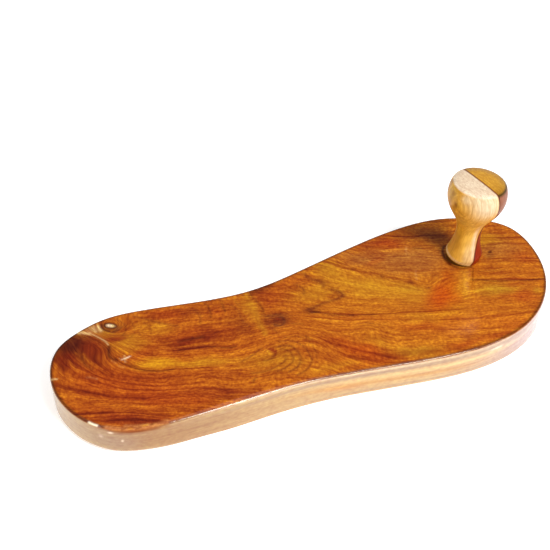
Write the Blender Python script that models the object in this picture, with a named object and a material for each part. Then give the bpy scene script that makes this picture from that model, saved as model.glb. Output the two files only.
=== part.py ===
"""Toe knob sandal, right foot: a flat hardwood sole and one turned knob for the toes to grip.

Metres, +Z up. +X points to the toes and +Y to the inner side of the foot.
The origin is on the ground, in the middle of the sole's length and width.
"""
from math import cos, pi, radians, sin, tan

import bmesh
import bpy
import numpy as np

MM = 0.001

# Driving sizes of the sole
SOLE_LENGTH = 260.0 * MM
SOLE_WIDTH = 95.9 * MM
SOLE_THICKNESS = 16.5 * MM

# Driving sizes of the knob
KNOB_FROM_HEEL = 0.853 * SOLE_LENGTH
KNOB_INWARD = 0.139 * SOLE_WIDTH
KNOB_LEAN = radians(5.3)
KNOB_HEIGHT = 47.8 * MM
HEAD_RADIUS = 15.0 * MM
FOOT_TRIM_HEIGHT = 12.0 * MM
TENON_RADIUS = 6.0 * MM
TENON_SHORT_OF_GROUND = 0.5 * MM

# Clearances
SEAT_GAP = 0.3 * MM
TENON_CLEARANCE = 0.3 * MM

# Fineness of the meshes
OUTLINE_STEPS = 5
EDGE_STEPS = 4
PROFILE_STEPS = 3
ROUND_STEPS = 48

# Columns: place, share of the length from the heel, share of the width (inner side positive),
# radius of the top edge and radius of the bottom edge in millimetres
SOLE_OUTLINE = [
    ("heel back", 0.000, 0.114, 1.2, 2.6),
    ("heel back, outer", 0.012, -0.044, 1.2, 2.4),
    ("heel corner, outer", 0.058, -0.218, 1.4, 3.0),
    ("heel, outer", 0.103, -0.281, 1.4, 3.4),
    ("heel front, outer", 0.192, -0.316, 2.2, 2.0),
    ("waist rear, outer", 0.285, -0.330, 3.2, 1.0),
    ("waist, outer", 0.400, -0.341, 2.2, 1.0),
    ("waist front, outer", 0.505, -0.385, 1.5, 2.0),
    ("ball rear, outer", 0.622, -0.451, 1.4, 2.2),
    ("ball, outer", 0.757, -0.499, 1.3, 2.3),
    ("toes, outer", 0.856, -0.458, 1.1, 2.3),
    ("toes front, outer", 0.932, -0.328, 1.1, 2.2),
    ("tip, outer", 0.977, -0.163, 1.2, 2.0),
    ("tip", 0.999, 0.045, 1.2, 2.0),
    ("tip, inner", 0.991, 0.251, 1.4, 2.0),
    ("toe corner, inner", 0.945, 0.383, 1.4, 2.0),
    ("toes, inner", 0.869, 0.479, 1.4, 2.0),
    ("ball, inner", 0.787, 0.500, 1.4, 2.0),
    ("ball rear, inner", 0.665, 0.468, 1.3, 2.0),
    ("waist front, inner", 0.538, 0.411, 1.3, 2.0),
    ("waist, inner", 0.421, 0.379, 1.4, 2.0),
    ("waist rear, inner", 0.315, 0.419, 1.5, 2.0),
    ("heel front, inner", 0.219, 0.475, 1.5, 2.0),
    ("heel, inner", 0.138, 0.494, 1.4, 2.0),
    ("heel rear, inner", 0.085, 0.460, 1.3, 2.2),
    ("heel corner, inner", 0.040, 0.396, 1.2, 2.4),
]

# Columns: place, share of the knob's height, share of the head's radius
KNOB_PROFILE = [
    ("foot, trimmed flat on the sole", 0.000, 0.590),
    ("foot rim, lower side", 0.030, 0.608),
    ("foot rim", 0.066, 0.625),
    ("foot rim, upper side", 0.088, 0.604),
    ("foot flare", 0.135, 0.552),
    ("neck, lower", 0.250, 0.463),
    ("neck, upper", 0.375, 0.438),
    ("neck flare", 0.500, 0.541),
    ("head, lower side", 0.600, 0.730),
    ("head, side", 0.700, 0.908),
    ("head, widest", 0.800, 0.992),
    ("head, upper side", 0.885, 0.986),
    ("rim, outer side", 0.940, 0.945),
    ("rim", 0.975, 0.885),
    ("top, outer", 0.990, 0.800),
]
TOP_DOME = [(0.996, 0.560), (0.999, 0.280)]


def spline(points, steps, closed):
    """Points on the smooth cubic spline through the given points."""
    points = np.array(points, dtype=float)
    count = len(points)
    spans = count if closed else count - 1
    length = [np.linalg.norm(points[(i + 1) % count] - points[i]) for i in range(spans)]
    left = np.zeros((count, count))
    right = np.zeros((count, 2))
    for i in range(count):
        if not closed and i in (0, count - 1):
            left[i, i] = 1.0
            continue
        before = length[i - 1]
        after = length[i]
        following = (i + 1) % count
        left[i, i - 1] += before
        left[i, i] += 2.0 * (before + after)
        left[i, following] += after
        slope_after = (points[following] - points[i]) / after
        slope_before = (points[i] - points[i - 1]) / before
        right[i] = 6.0 * (slope_after - slope_before)
    bend = np.linalg.solve(left, right)
    curve = []
    for i in range(spans):
        following = (i + 1) % count
        for step in range(steps):
            t = step / steps
            bow_start = (2.0 * t - 3.0 * t ** 2 + t ** 3) * bend[i]
            bow_end = (t - t ** 3) * bend[following]
            chord = points[i] * (1.0 - t) + points[following] * t
            curve.append(chord - length[i] ** 2 / 6.0 * (bow_start + bow_end))
    if not closed:
        curve.append(points[-1])
    return np.array(curve)


def wood(name, colour, roughness):
    """Lacquered wood in one colour."""
    material = bpy.data.materials.new(name)
    material.use_nodes = True
    shader = material.node_tree.nodes["Principled BSDF"]
    shader.inputs["Base Color"].default_value = (*colour, 1.0)
    shader.inputs["Roughness"].default_value = roughness
    shader.inputs["Metallic"].default_value = 0.0
    shader.inputs["Coat Weight"].default_value = 0.6
    return material


def loft(name, rings, material):
    """A closed solid through rings of equally many points, with both ends filled."""
    mesh = bmesh.new()
    loops = [[mesh.verts.new(point) for point in ring] for ring in rings]
    count = len(loops[0])
    for lower, upper in zip(loops, loops[1:]):
        for i in range(count):
            j = (i + 1) % count
            mesh.faces.new((lower[i], lower[j], upper[j], upper[i]))
    mesh.faces.new(list(reversed(loops[0])))
    mesh.faces.new(loops[-1])
    bmesh.ops.recalc_face_normals(mesh, faces=mesh.faces)
    data = bpy.data.meshes.new(name)
    mesh.to_mesh(data)
    mesh.free()
    data.materials.append(material)
    data.shade_smooth()
    data.set_sharp_from_angle(angle=radians(35.0))
    solid = bpy.data.objects.new(name, data)
    bpy.context.scene.collection.objects.link(solid)
    return solid


def edge_radii(column):
    """One edge's radius at each point of the outline, eased between the table's places."""
    radii = [row[column] * MM for row in SOLE_OUTLINE]
    eased = []
    for here, there in zip(radii, radii[1:] + radii[:1]):
        for step in range(OUTLINE_STEPS):
            ease = (1.0 - cos(step / OUTLINE_STEPS * pi)) / 2.0
            eased.append(here + (there - here) * ease)
    return np.array(eased)


def sole_outline():
    """The sole's outline from above, with its box centred on the origin."""
    points = [(row[1] * SOLE_LENGTH, row[2] * SOLE_WIDTH) for row in SOLE_OUTLINE]
    curve = spline(points, OUTLINE_STEPS, closed=True)
    return curve - (curve.min(axis=0) + curve.max(axis=0)) / 2.0


def sole_rings():
    """The outline up the sole's side: round bottom edge, upright wall, round top edge."""
    outline = sole_outline()
    run = np.roll(outline, -1, axis=0) - np.roll(outline, 1, axis=0)
    run /= np.linalg.norm(run, axis=1)[:, None]
    inward = np.column_stack((-run[:, 1], run[:, 0]))
    top_radii = edge_radii(3)
    bottom_radii = edge_radii(4)
    turns = [step / EDGE_STEPS * pi / 2.0 for step in range(EDGE_STEPS + 1)]
    rings = []
    for turn in turns:
        points = outline + inward * (bottom_radii * (1.0 - sin(turn)))[:, None]
        rings.append(np.column_stack((points, bottom_radii * (1.0 - cos(turn)))))
    for turn in turns:
        points = outline + inward * (top_radii * (1.0 - cos(turn)))[:, None]
        rings.append(np.column_stack((points, SOLE_THICKNESS - top_radii * (1.0 - sin(turn)))))
    return rings


def knob_axis(height):
    """The knob's axis at a height above the sole's top, which may be negative."""
    x = KNOB_FROM_HEEL - SOLE_LENGTH / 2.0 + height * tan(KNOB_LEAN)
    return x, KNOB_INWARD, SOLE_THICKNESS + height


def round_ring(centre, radius, tilt):
    """A circle of points about a centre, tilted towards the toes."""
    ring = []
    for step in range(ROUND_STEPS):
        turn = step / ROUND_STEPS * 2.0 * pi
        forward = radius * cos(turn)
        x = centre[0] + forward * cos(tilt)
        y = centre[1] + radius * sin(turn)
        z = centre[2] - forward * sin(tilt)
        ring.append((x, y, z))
    return ring


def knob_rings():
    """Tenon, foot, neck, head and top of the knob, from the bottom up."""
    rings = []
    for height in (TENON_SHORT_OF_GROUND - SOLE_THICKNESS, SEAT_GAP):
        rings.append(round_ring(knob_axis(height), TENON_RADIUS, 0.0))
    turned = [(share * KNOB_HEIGHT, radius * HEAD_RADIUS) for _, share, radius in KNOB_PROFILE]
    profile = [tuple(point) for point in spline(turned, PROFILE_STEPS, closed=False)]
    profile += [(share * KNOB_HEIGHT, radius * HEAD_RADIUS) for share, radius in TOP_DOME]
    for along, radius in profile:
        squaring = min(along / FOOT_TRIM_HEIGHT, 1.0)
        centre = knob_axis(SEAT_GAP + along * cos(KNOB_LEAN))
        rings.append(round_ring(centre, radius, KNOB_LEAN * squaring))
    return rings


def make_sole():
    """The board, drilled at the knob's lean for its tenon."""
    sole = loft("sole", sole_rings(), wood("heartwood", (0.36, 0.13, 0.035), 0.3))
    ends = (-2.0 * SOLE_THICKNESS, SOLE_THICKNESS)
    radius = TENON_RADIUS + TENON_CLEARANCE
    rings = [round_ring(knob_axis(height), radius, 0.0) for height in ends]
    drill = loft("drill", rings, wood("drill", (0.5, 0.5, 0.5), 0.5))
    drill.hide_render = True
    drill.display_type = "WIRE"
    hole = sole.modifiers.new("tenon hole", "BOOLEAN")
    hole.operation = "DIFFERENCE"
    hole.object = drill


def make_toe_knob():
    """The knob and its tenon, turned in one piece and trimmed to sit flat on the sole."""
    loft("toe_knob", knob_rings(), wood("sapwood", (0.75, 0.48, 0.2), 0.3))


def main():
    for old in list(bpy.data.objects):
        bpy.data.objects.remove(old, do_unlink=True)
    make_sole()
    make_toe_knob()


main()
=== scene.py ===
# %% [markdown]
# # A wooden toe knob sandal
# The object is the right shoe of a pair: one flat board sawn to the outline of the foot, and one
# turned knob that the big toe and the second toe grip. Both are lacquered hardwood, so the lesson is
# about three things: a clean form, a believable piece of wood, and light that shows its gloss.
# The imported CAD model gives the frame. Everything here is in metres and sits where the CAD says.

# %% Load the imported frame
from math import cos, pi, radians, sin, tan

import bmesh
import bpy
import numpy as np
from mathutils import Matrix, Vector, noise


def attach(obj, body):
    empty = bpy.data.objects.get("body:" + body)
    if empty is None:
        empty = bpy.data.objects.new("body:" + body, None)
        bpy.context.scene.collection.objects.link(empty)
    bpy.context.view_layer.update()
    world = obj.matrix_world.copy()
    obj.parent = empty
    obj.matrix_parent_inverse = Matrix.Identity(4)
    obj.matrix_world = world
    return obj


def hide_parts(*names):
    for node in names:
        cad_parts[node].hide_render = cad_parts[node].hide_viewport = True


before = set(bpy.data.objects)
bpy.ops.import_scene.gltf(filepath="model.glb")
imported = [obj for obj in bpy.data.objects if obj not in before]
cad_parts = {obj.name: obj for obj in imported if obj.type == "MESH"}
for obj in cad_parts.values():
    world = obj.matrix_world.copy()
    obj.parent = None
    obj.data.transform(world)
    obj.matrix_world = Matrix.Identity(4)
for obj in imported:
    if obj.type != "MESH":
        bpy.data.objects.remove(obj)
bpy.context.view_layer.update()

MM = 0.001
scene = bpy.context.scene


def linear(colour):
    """An sRGB hex colour as linear RGBA, which is what Blender's shaders work in."""
    parts = [int(colour[i:i + 2], 16) / 255.0 for i in (0, 2, 4)]
    return tuple(p / 12.92 if p <= 0.04045 else ((p + 0.055) / 1.055) ** 2.4 for p in parts) + (1.0,)


def add(tree, kind, *values, pick=0, sockets=None, **settings):
    """Adds one node, sets or links its inputs, and gives back one of its output sockets."""
    node = tree.nodes.new(kind)
    for name, value in settings.items():
        setattr(node, name, value)
    live = [socket for socket in node.inputs if socket.enabled]
    wanted = list(zip(live, values))
    for name, value in (sockets or {}).items():
        wanted.append((next(socket for socket in live if socket.name == name), value))
    for socket, value in wanted:
        if isinstance(value, bpy.types.NodeSocket):
            tree.links.new(value, socket)
        else:
            socket.default_value = value
    return [socket for socket in node.outputs if socket.enabled][pick]


MATHS = "ShaderNodeMath"
VECTOR = "ShaderNodeVectorMath"
SPLIT = "ShaderNodeSeparateXYZ"
RANGE = "ShaderNodeMapRange"
NOISE = "ShaderNodeTexNoise"
MIX = "ShaderNodeMix"


def plain_mesh(source, name):
    """The evaluated object as a plain mesh with its smooth shading kept and its sharp edges marked."""
    evaluated = source.evaluated_get(bpy.context.evaluated_depsgraph_get())
    mesh = bpy.data.meshes.new_from_object(evaluated)
    mesh.name = name
    mesh.shade_smooth()
    mesh.set_sharp_from_angle(angle=radians(35.0))
    return mesh


# %% [markdown]
# ## The camera
# The picture was taken from above the heel's outer side with a long lens. The angle and the lens were
# worked out from the two soles of the pair, which have to be mirror images of each other. A camera
# that is set by numbers keeps the same view whatever else changes.

# %% Camera
SENSOR_WIDTH = 36.0
PICTURE_WIDTH = 550.0
FOCAL_PIXELS = 1150.0
CAMERA_PITCH = radians(42.08)
CAMERA_TURN = radians(-24.75)
lens = bpy.data.cameras.new("camera")
lens.sensor_width = SENSOR_WIDTH
lens.lens = SENSOR_WIDTH * FOCAL_PIXELS / PICTURE_WIDTH
lens.clip_start = 0.01
lens.clip_end = 50.0
camera = bpy.data.objects.new("camera", lens)
camera.location = (-0.18730, -0.35757, 0.41267)
camera.rotation_euler = (pi / 2.0 - CAMERA_PITCH, 0.0, CAMERA_TURN)
scene.collection.objects.link(camera)
scene.camera = camera
print("lens, mm:", round(lens.lens, 2))

# %% [markdown]
# ## Floor and light
# The shoe stands on a white table that is lit from below as well, so the ground shows no edge and
# almost no shadow. A key box in front on the right models the forms and throws the knob's soft shadow
# back and to the left. Two narrow strips at the sides draw the bright lines along the rounded edges,
# and a large sheet overhead fills the rest. The room above is dim, so the lacquered top keeps its full
# colour and isn't veiled by a white reflection.

# %% Floor
FLOOR_HALF = 12.0
# The floor lies a little low, so that it never cuts the sole
FLOOR_DROP = 0.2 * MM
floor_mesh = bpy.data.meshes.new("floor")
corners = [(x * FLOOR_HALF, y * FLOOR_HALF, 0.0) for x, y in ((-1, -1), (1, -1), (1, 1), (-1, 1))]
floor_mesh.from_pydata(corners, [], [(0, 1, 2, 3)])
floor = bpy.data.objects.new("floor", floor_mesh)
floor.location.z = -FLOOR_DROP
scene.collection.objects.link(floor)
paper = bpy.data.materials.new("back-lit white table")
paper.use_nodes = True
paper_shader = paper.node_tree.nodes["Principled BSDF"]
paper_shader.inputs["Base Color"].default_value = (0.92, 0.92, 0.92, 1.0)
paper_shader.inputs["Emission Color"].default_value = (1.0, 1.0, 1.0, 1.0)
paper_shader.inputs["Emission Strength"].default_value = 0.5
paper_shader.inputs["Roughness"].default_value = 0.9
paper_shader.inputs["Specular IOR Level"].default_value = 0.1
floor_mesh.materials.append(paper)

# %% Lights
AIM = Vector((0.0, 0.0, 0.02))
# Columns: name, turn from +Y towards +X in degrees, degrees above the horizon, distance, width,
# height, watts and colour
LIGHTS = [
    ("key box", 160.0, 48.0, 1.6, 0.50, 0.50, 20.0, "FFF8F0"),
    ("right strip", 141.0, 26.0, 1.6, 0.25, 0.50, 4.0, "FFFFFF"),
    ("left strip", -104.0, 32.0, 1.6, 0.25, 0.50, 4.0, "FFFFFF"),
    ("top sheet", 0.0, 88.0, 2.2, 2.2, 2.2, 18.0, "FFFFFF"),
]
for name, turn, rise, distance, width, height, watts, colour in LIGHTS:
    box = bpy.data.lights.new(name, "AREA")
    box.shape = "RECTANGLE"
    box.size = width
    box.size_y = height
    box.energy = watts
    box.color = linear(colour)[:3]
    lamp = bpy.data.objects.new(name, box)
    level = cos(radians(rise))
    away = Vector((sin(radians(turn)) * level, cos(radians(turn)) * level, sin(radians(rise))))
    lamp.location = AIM + away * distance
    lamp.rotation_euler = away.to_track_quat("Z", "Y").to_euler()
    scene.collection.objects.link(lamp)

# The room is pale near the horizon and dim above, so the gloss on top mirrors little light
world = bpy.data.worlds.new("dim room")
world.use_nodes = True
room = world.node_tree
height = add(room, SPLIT, add(room, "ShaderNodeTexCoord"), pick=2)
brightness = add(room, RANGE, height, 0.2, 0.45, 0.9, 0.05)
room.links.new(brightness, room.nodes["Background"].inputs["Strength"])
room.nodes["Background"].inputs["Color"].default_value = (1.0, 1.0, 1.0, 1.0)
scene.world = world
scene.view_settings.view_transform = "Standard"
scene.view_settings.look = "None"

# %% [markdown]
# ## The board's form
# The maker saws the outline from a planed plank, then rounds the top and bottom edges by hand, more
# in some places than in others. The outline could be traced with a curve object, but a table of
# places with one smooth spline through them says the same thing in numbers that can be checked. The
# surface is woven from ladders of points between the outer and the inner side, so the flat top has a
# fine, even net of vertices that can carry the figure of the wood.

# %% The outline, from the same table as the CAD
SOLE_LENGTH = 260.0 * MM
SOLE_WIDTH = 95.9 * MM
SOLE_THICKNESS = 16.5 * MM
OUTLINE_STEPS = 32
# Columns: place, share of the length from the heel, share of the width (inner side positive),
# radius of the top edge and radius of the bottom edge in millimetres
SOLE_OUTLINE = [
    ("heel back", 0.000, 0.114, 1.2, 2.6),
    ("heel back, outer", 0.012, -0.044, 1.2, 2.4),
    ("heel corner, outer", 0.058, -0.218, 1.4, 3.0),
    ("heel, outer", 0.103, -0.281, 1.4, 3.4),
    ("heel front, outer", 0.192, -0.316, 2.2, 2.0),
    ("waist rear, outer", 0.285, -0.330, 3.2, 1.0),
    ("waist, outer", 0.400, -0.341, 2.2, 1.0),
    ("waist front, outer", 0.505, -0.385, 1.5, 2.0),
    ("ball rear, outer", 0.622, -0.451, 1.4, 2.2),
    ("ball, outer", 0.757, -0.499, 1.3, 2.3),
    ("toes, outer", 0.856, -0.458, 1.1, 2.3),
    ("toes front, outer", 0.932, -0.328, 1.1, 2.2),
    ("tip, outer", 0.977, -0.163, 1.2, 2.0),
    ("tip", 0.999, 0.045, 1.2, 2.0),
    ("tip, inner", 0.991, 0.251, 1.4, 2.0),
    ("toe corner, inner", 0.945, 0.383, 1.4, 2.0),
    ("toes, inner", 0.869, 0.479, 1.4, 2.0),
    ("ball, inner", 0.787, 0.500, 1.4, 2.0),
    ("ball rear, inner", 0.665, 0.468, 1.3, 2.0),
    ("waist front, inner", 0.538, 0.411, 1.3, 2.0),
    ("waist, inner", 0.421, 0.379, 1.4, 2.0),
    ("waist rear, inner", 0.315, 0.419, 1.5, 2.0),
    ("heel front, inner", 0.219, 0.475, 1.5, 2.0),
    ("heel, inner", 0.138, 0.494, 1.4, 2.0),
    ("heel rear, inner", 0.085, 0.460, 1.3, 2.2),
    ("heel corner, inner", 0.040, 0.396, 1.2, 2.4),
]


def spline(points, steps, closed):
    """Points on the smooth cubic spline through the given points."""
    points = np.array(points, dtype=float)
    count = len(points)
    spans = count if closed else count - 1
    length = [np.linalg.norm(points[(i + 1) % count] - points[i]) for i in range(spans)]
    left = np.zeros((count, count))
    right = np.zeros((count, 2))
    for i in range(count):
        if not closed and i in (0, count - 1):
            left[i, i] = 1.0
            continue
        following = (i + 1) % count
        left[i, i - 1] += length[i - 1]
        left[i, i] += 2.0 * (length[i - 1] + length[i])
        left[i, following] += length[i]
        slope_after = (points[following] - points[i]) / length[i]
        slope_before = (points[i] - points[i - 1]) / length[i - 1]
        right[i] = 6.0 * (slope_after - slope_before)
    bend = np.linalg.solve(left, right)
    curve = []
    for i in range(spans):
        following = (i + 1) % count
        for step in range(steps):
            t = step / steps
            bow_start = (2.0 * t - 3.0 * t ** 2 + t ** 3) * bend[i]
            bow_end = (t - t ** 3) * bend[following]
            chord = points[i] * (1.0 - t) + points[following] * t
            curve.append(chord - length[i] ** 2 / 6.0 * (bow_start + bow_end))
    if not closed:
        curve.append(points[-1])
    return np.array(curve)


def edge_radii(column):
    """One edge's radius at each point of the outline, eased between the table's places."""
    radii = [row[column] * MM for row in SOLE_OUTLINE]
    eased = []
    for here, there in zip(radii, radii[1:] + radii[:1]):
        for step in range(OUTLINE_STEPS):
            ease = (1.0 - cos(step / OUTLINE_STEPS * pi)) / 2.0
            eased.append(here + (there - here) * ease)
    return np.array(eased)


outline_places = [(row[1] * SOLE_LENGTH, row[2] * SOLE_WIDTH) for row in SOLE_OUTLINE]
outline = spline(outline_places, OUTLINE_STEPS, closed=True)
outline -= (outline.min(axis=0) + outline.max(axis=0)) / 2.0
along_outline = np.roll(outline, -1, axis=0) - np.roll(outline, 1, axis=0)
along_outline /= np.linalg.norm(along_outline, axis=1)[:, None]
inward = np.column_stack((-along_outline[:, 1], along_outline[:, 0]))
print("outline points:", len(outline))

# %% The board's mesh
# Fineness of the net: steps round each edge, up the wall, and across the top and the underside
EDGE_STEPS = 7
WALL_STEPS = 12
TOP_LADDER = 150
UNDER_LADDER = 14


def board_rings():
    """Rings of points from the underside, up the rounded edge and the wall, to the top face."""
    top_radii = edge_radii(3)
    bottom_radii = edge_radii(4)
    rings = []
    for step in range(EDGE_STEPS + 1):
        turn = step / EDGE_STEPS * pi / 2.0
        ring = outline + inward * (bottom_radii * (1.0 - sin(turn)))[:, None]
        rings.append(np.column_stack((ring, bottom_radii * (1.0 - cos(turn)))))
    wall_height = SOLE_THICKNESS - top_radii - bottom_radii
    for step in range(1, WALL_STEPS):
        rings.append(np.column_stack((outline, bottom_radii + wall_height * step / WALL_STEPS)))
    for step in range(EDGE_STEPS + 1):
        turn = step / EDGE_STEPS * pi / 2.0
        ring = outline + inward * (top_radii * (1.0 - cos(turn)))[:, None]
        rings.append(np.column_stack((ring, SOLE_THICKNESS - top_radii * (1.0 - sin(turn)))))
    return rings


def weave(mesh, ring, rungs, upwards):
    """Fills a flat ring with a net: each ladder runs from the outer side to the inner side."""
    count = len(ring)
    half = count // 2
    rows = []
    for i in range(half + 1):
        outer = ring[i]
        inner = ring[-i % count]
        if outer is inner:
            rows.append([outer] * (rungs + 1))
            continue
        between = [mesh.verts.new(outer.co.lerp(inner.co, j / rungs)) for j in range(1, rungs)]
        rows.append([outer] + between + [inner])
    for here, there in zip(rows, rows[1:]):
        for j in range(rungs):
            face = [here[j], there[j], there[j + 1], here[j + 1]]
            face = list(dict.fromkeys(face))
            if len(face) > 2:
                mesh.faces.new(face if upwards else face[::-1])


def board_mesh():
    """The whole board as one closed mesh."""
    mesh = bmesh.new()
    loops = [[mesh.verts.new(point) for point in ring] for ring in board_rings()]
    for lower, upper in zip(loops, loops[1:]):
        for i in range(len(lower)):
            j = (i + 1) % len(lower)
            mesh.faces.new((lower[i], lower[j], upper[j], upper[i]))
    weave(mesh, loops[-1], TOP_LADDER, True)
    weave(mesh, loops[0], UNDER_LADDER, False)
    bmesh.ops.recalc_face_normals(mesh, faces=mesh.faces)
    data = bpy.data.meshes.new("board")
    mesh.to_mesh(data)
    mesh.free()
    return data


board = bpy.data.objects.new("board", board_mesh())
scene.collection.objects.link(board)
print("board faces before drilling:", len(board.data.polygons))

# %% [markdown]
# ## The hole for the tenon
# The maker bores one leaning hole through the board, and the knob's tenon goes into it. A Boolean
# modifier does the same job with a leaning cylinder, which is deleted once the hole is made.

# %% Where the knob stands
KNOB_FROM_HEEL = 0.853 * SOLE_LENGTH
KNOB_INWARD = 0.139 * SOLE_WIDTH
KNOB_LEAN = radians(5.3)
KNOB_HEIGHT = 47.8 * MM
HEAD_RADIUS = 15.0 * MM
FOOT_TRIM_HEIGHT = 12.0 * MM
TENON_RADIUS = 6.0 * MM
TENON_SHORT_OF_GROUND = 0.5 * MM
SEAT_GAP = 0.3 * MM
TENON_CLEARANCE = 0.3 * MM
KNOB_X = KNOB_FROM_HEEL - SOLE_LENGTH / 2.0


def knob_axis(height):
    """The knob's axis at a height above the board's top, which may be negative."""
    return Vector((KNOB_X + height * tan(KNOB_LEAN), KNOB_INWARD, SOLE_THICKNESS + height))


# %% Drill the board
DRILL_SIDES = 48
drill_mesh = bmesh.new()
drill_loops = []
for height in (-2.0 * SOLE_THICKNESS, SOLE_THICKNESS):
    centre = knob_axis(height)
    loop = []
    for step in range(DRILL_SIDES):
        turn = step / DRILL_SIDES * 2.0 * pi
        spoke = Vector((cos(turn), sin(turn), 0.0)) * (TENON_RADIUS + TENON_CLEARANCE)
        loop.append(drill_mesh.verts.new(centre + spoke))
    drill_loops.append(loop)
low_loop, high_loop = drill_loops
for i in range(DRILL_SIDES):
    j = (i + 1) % DRILL_SIDES
    drill_mesh.faces.new((low_loop[i], low_loop[j], high_loop[j], high_loop[i]))
drill_mesh.faces.new(low_loop[::-1])
drill_mesh.faces.new(high_loop)
drill_data = bpy.data.meshes.new("drill")
drill_mesh.to_mesh(drill_data)
drill_mesh.free()
drill = bpy.data.objects.new("drill", drill_data)
scene.collection.objects.link(drill)
bore = board.modifiers.new("bore", "BOOLEAN")
bore.operation = "DIFFERENCE"
bore.object = drill
drilled = plain_mesh(board, "board_drilled")
board.modifiers.clear()
board.data = drilled
bpy.data.objects.remove(drill, do_unlink=True)
print("board faces after drilling:", len(board.data.polygons))

# %% [markdown]
# ## The figure of the board
# The lines on a sawn board are the tree's growth rings, cut almost along the trunk. So the figure is
# one smooth field: each point has a ring level, and each dark line follows one level. Where the trunk
# was straight the levels run side by side; round a knot or a bump they close into loops and noses.
# The guides below are a few such lines. A thin plate spline, the smoothest sheet through given
# heights, fills in the levels between them.

# %% Guide lines of the figure
# The grain's angle to the board's length
GRAIN_TURN = radians(-22.0)
# Columns: name, ring level, darkness, half width in ring levels, places in millimetres from the origin
GUIDES = [
    ("toes, inner 1", 56.0, 0.5, 0.9, [(50, 41), (58, 36.5)]),
    ("toes, inner 2", 64.2, 0.8, 0.9, [(64, 44), (70, 41), (76, 38), (82, 36), (90, 32.5)]),
    ("toes, inner 3", 47.0, 0.8, 0.8, [(57, 29), (62, 27), (68, 24), (74, 20), (80, 17), (84, 15)]),
    ("toes, inner 4", 37.0, 0.5, 0.8, [(60, 15.5), (68, 13), (74, 10), (80, 7)]),
    ("tip 1", 60.4, 0.8, 0.9, [(108, 22), (114, 19.5), (120, 17), (128, 13.5)]),
    ("tip 2", 54.8, 0.4, 0.8, [(104, 17.5), (110, 15), (116, 12.5), (125, 8.5)]),
    ("tip 3", 43.3, 0.6, 1.0, [(106, 4.5), (114, 1), (120, -2), (126, -5.5)]),
    ("tip 4", 33.6, 0.4, 0.8, [(96, -3), (104, -6), (112, -9)]),
    ("tip 5", 27.3, 1.0, 0.8, [(92, -6), (97, -9), (103, -12), (108, -14.5), (114, -17.5), (120, -20)]),
    ("toes, outer", 0.6, 0.6, 0.8, [
        (52, -22), (60, -25), (66, -27.5), (72, -29.5), (80, -31), (88, -34), (95, -36.5),
        (103, -38),
    ]),
    ("nose, lower side", 6.4, 0.9, 0.8, [
        (2, 8), (8, 5), (14, 1), (20, -3), (28, -6), (36, -8.5), (45, -11.5), (56, -15.5),
        (68, -20),
    ]),
    ("nose, upper side", 33.0, 0.8, 0.8, [
        (26, 38), (28, 34), (31, 31), (34, 27), (36, 25), (41, 22), (46, 18.5), (48, 14.5),
        (51, 12), (56, 8),
    ]),
    ("nose, upper side, end", 33.0, 0.3, 0.8, [(56, 8), (60, 2.5), (63, -1)]),
    ("outer waist", -18.0, 0.8, 1.0, [
        (-6, -5), (-2, -11), (3, -17), (8, -23), (13, -28), (18, -31), (23, -36),
    ]),
    ("outer ball", -6.3, 0.4, 0.8, [(22, -10), (30, -18), (36, -22), (44, -25), (54, -29), (66, -35)]),
    ("heel 1", -42.5, 0.8, 0.9, [
        (-128, 13), (-124, 10.5), (-119, 7), (-115, 4), (-110, -0.5), (-104, -5), (-98, -8),
        (-92, -11),
    ]),
    ("heel 1, end", -42.5, 0.4, 0.8, [(-92, -11), (-84, -13), (-74, -17), (-66, -20)]),
    ("heel 1, lower", -46.0, 0.3, 0.8, [(-120, -1), (-112, -5), (-104, -9.5), (-96, -13.5)]),
    ("heel 2", -54.0, 0.9, 0.9, [
        (-122, -8), (-116, -9.5), (-110, -12), (-104, -15), (-98, -18.5), (-92, -22),
    ]),
    ("heel 3", -58.0, 0.7, 1.1, [(-113, -17), (-106, -19), (-100, -22), (-94, -26), (-90, -28)]),
    ("heel 4", -56.0, 0.5, 0.7, [(-108, -15.5), (-102, -18.5), (-96, -22)]),
    ("heel 5", -38.5, 0.5, 0.7, [(-78, -12), (-72, -14), (-66, -17), (-60, -21)]),
    ("heel 0", -38.5, 0.7, 0.7, [(-103, 0.5), (-98, -3), (-92, -6), (-86, -9)]),
    ("heel 6", -33.5, 0.4, 0.7, [(-78, -3), (-72, -6), (-66, -8.5), (-60, -11)]),
    ("heel arc", -27.0, 1.0, 0.7, [
        (-107, 43), (-103, 38), (-100, 33), (-98.5, 28), (-98.5, 22), (-96, 17), (-93, 12),
        (-90, 8), (-86, 5), (-82, 2.5), (-77, 1), (-70, -1.5), (-62, -4),
    ]),
    ("heel arc 2", -31.5, 0.4, 1.0, [
        (-112, 40), (-110, 30), (-108, 22), (-104, 14), (-98, 7), (-90, 2), (-80, -3.5), (-70, -7),
    ]),
    ("heel arc 3", -36.0, 0.6, 1.0, [
        (-118, 34), (-116.5, 27), (-114, 20), (-109, 12), (-103, 5.5), (-95, -1), (-86, -6),
        (-75, -10.5),
    ]),
    ("inside the arc", -21.0, 0.3, 1.0, [(-94, 22), (-89, 14), (-81, 8.5), (-72, 5), (-60, 1)]),
    ("bar, lower edge", -13.5, 1.0, 0.8, [(-70, 12), (-62, 10), (-54, 7.5), (-46, 4)]),
    ("knot", 14.0, 0.0, 1.0, [(-92.5, 41)]),
    ("round the knot", 6.0, 0.5, 0.8, [
        (-98, 41), (-95.5, 45.5), (-90, 46), (-87, 42), (-89, 37), (-95, 36.5),
    ]),
]


def plain_level(x, y):
    """The ring level, in millimetres across the grain, if the trunk had been perfectly straight."""
    return y * cos(GRAIN_TURN) - x * sin(GRAIN_TURN)


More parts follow.
